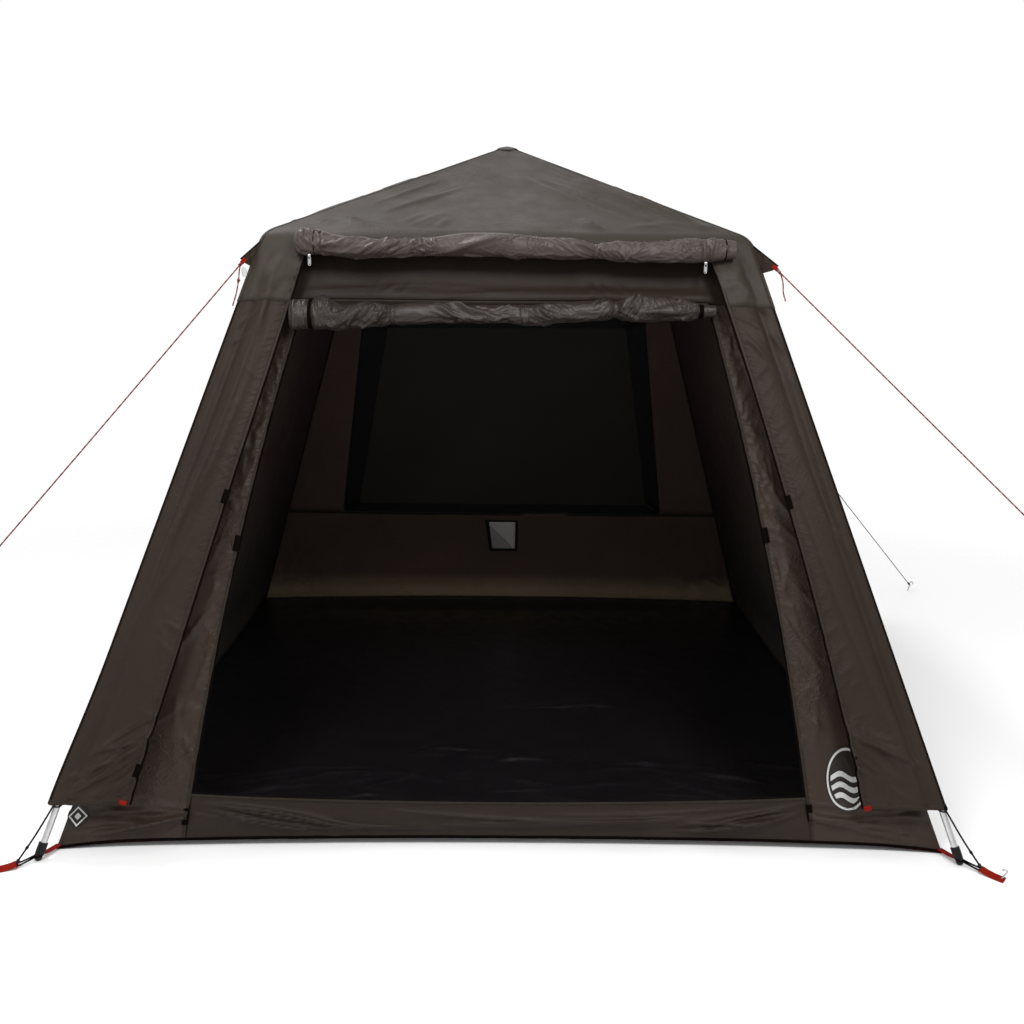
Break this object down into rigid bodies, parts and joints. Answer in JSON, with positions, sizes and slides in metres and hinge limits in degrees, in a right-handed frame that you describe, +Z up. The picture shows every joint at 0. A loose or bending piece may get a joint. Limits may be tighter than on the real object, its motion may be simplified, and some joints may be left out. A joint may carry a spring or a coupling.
{
  "type": "fishing tent",
  "caption": "Square cabin tent for anglers: leaning pole frame with a roof hub, inner tent with groundsheet, flysheet with rolled-up doors, guy lines and pegs.",
  "frame": {"origin": "on the ground under the peak, on the underside of the groundsheet", "axes": "+Z up, the door faces -Y, +X to the right of someone who looks in"},
  "size_m": [4.3086, 3.0025, 2.0068],
  "materials": {
    "fly_cloth": "coated polyester, dark taupe",
    "roof_cloth": "coated polyester, warm grey taupe",
    "inner_cloth": "breathable polyester, very dark brown",
    "roll_cloth": "coated polyester, creased",
    "mesh_cloth": "fine black netting",
    "floor_cloth": "black coated groundsheet",
    "silver_tube": "satin",
    "black_plastic": "moulded",
    "red_webbing": "woven webbing",
    "flecked_cord": "braided cord with pale and dark flecks"
  },
  "bodies": {
    "root": {"corner_strap_front_left": "red_webbing", "corner_strap_front_right": "red_webbing", "corner_strap_rear_left": "red_webbing", "corner_strap_rear_right": "red_webbing", "elbow_front_left": "black_plastic", "elbow_front_right": "black_plastic", "elbow_rear_left": "black_plastic", "elbow_rear_right": "black_plastic", "fly_door_roll": "roll_cloth", "fly_front_left": "fly_cloth", "fly_front_right": "fly_cloth", "fly_left_wall": "fly_cloth", "fly_rear_wall": "fly_cloth", "fly_right_wall": "fly_cloth", "fly_roof_front": "roof_cloth", "fly_roof_left": "roof_cloth", "fly_roof_rear": "roof_cloth", "fly_roof_right": "roof_cloth", "foot_front_left": "black_plastic", "foot_front_right": "black_plastic", "foot_rear_left": "black_plastic", "foot_rear_right": "black_plastic", "groundsheet": "floor_cloth", "guy_line_front_left": "flecked_cord", "guy_line_front_right": "flecked_cord", "guy_line_rear_left": "flecked_cord", "guy_line_rear_right": "flecked_cord", "guy_tab_front_left": "fly_cloth", "guy_tab_front_right": "fly_cloth", "guy_tab_rear_left": "fly_cloth", "guy_tab_rear_right": "fly_cloth", "hub": "black_plastic", "inner_door_roll": "roll_cloth", "inner_front_header": "inner_cloth", "inner_front_left": "inner_cloth", "inner_front_right": "inner_cloth", "inner_front_sill": "inner_cloth", "inner_left_wall": "inner_cloth", "inner_rear_header": "inner_cloth", "inner_rear_left": "inner_cloth", "inner_rear_lower": "inner_cloth", "inner_rear_right": "inner_cloth", "inner_right_wall": "inner_cloth", "inner_roof_front": "inner_cloth", "inner_roof_left": "inner_cloth", "inner_roof_rear": "inner_cloth", "inner_roof_right": "inner_cloth", "leg_front_left": "silver_tube", "leg_front_right": "silver_tube", "leg_rear_left": "silver_tube", "leg_rear_right": "silver_tube", "rear_window": "mesh_cloth", "roof_pole_front_left": "silver_tube", "roof_pole_front_right": "silver_tube", "roof_pole_rear_left": "silver_tube", "roof_pole_rear_right": "silver_tube"}
  },
  "joints": []
}
